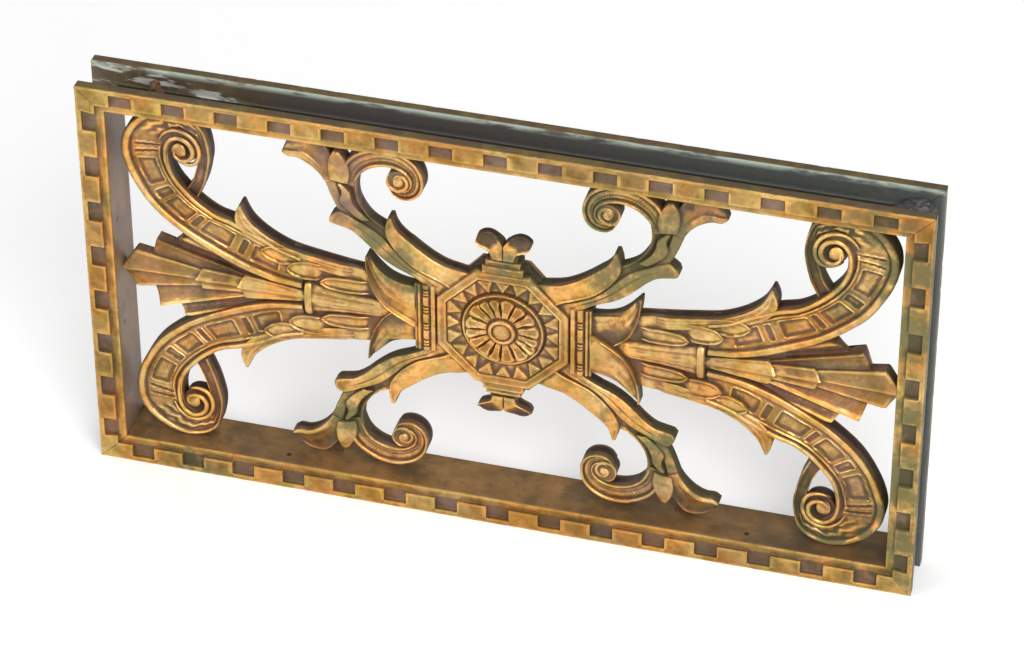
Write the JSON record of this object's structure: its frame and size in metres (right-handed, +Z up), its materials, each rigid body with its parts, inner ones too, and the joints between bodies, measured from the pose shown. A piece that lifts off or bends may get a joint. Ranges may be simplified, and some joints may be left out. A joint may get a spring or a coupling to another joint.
{
  "type": "ornamental grille panel",
  "caption": "Oblong cast bronze grille: channel frame with a dentil fret around an openwork of acanthus scrolls, fan palmettes and a central rosette medallion.",
  "frame": {"origin": "middle of the underside, half way through the depth", "axes": "+Z up, +X to the right as seen from the front, the front faces -Y"},
  "size_m": [0.57, 0.04, 0.305],
  "materials": {
    "frame_bronze": "aged, edges rubbed to gold",
    "casting_bronze": "aged, purple-brown in the recesses, gold on the crests",
    "rusty_steel": "rusty",
    "old_solder": "dull, dirty"
  },
  "bodies": {
    "root": {"frame_bar_bottom": "frame_bronze", "frame_bar_top": "frame_bronze", "frame_bar_left": "frame_bronze", "frame_bar_right": "frame_bronze", "grille_casting": "casting_bronze", "channel_bolt": "rusty_steel", "channel_nut": "rusty_steel", "solder_lump": "old_solder"}
  },
  "joints": []
}
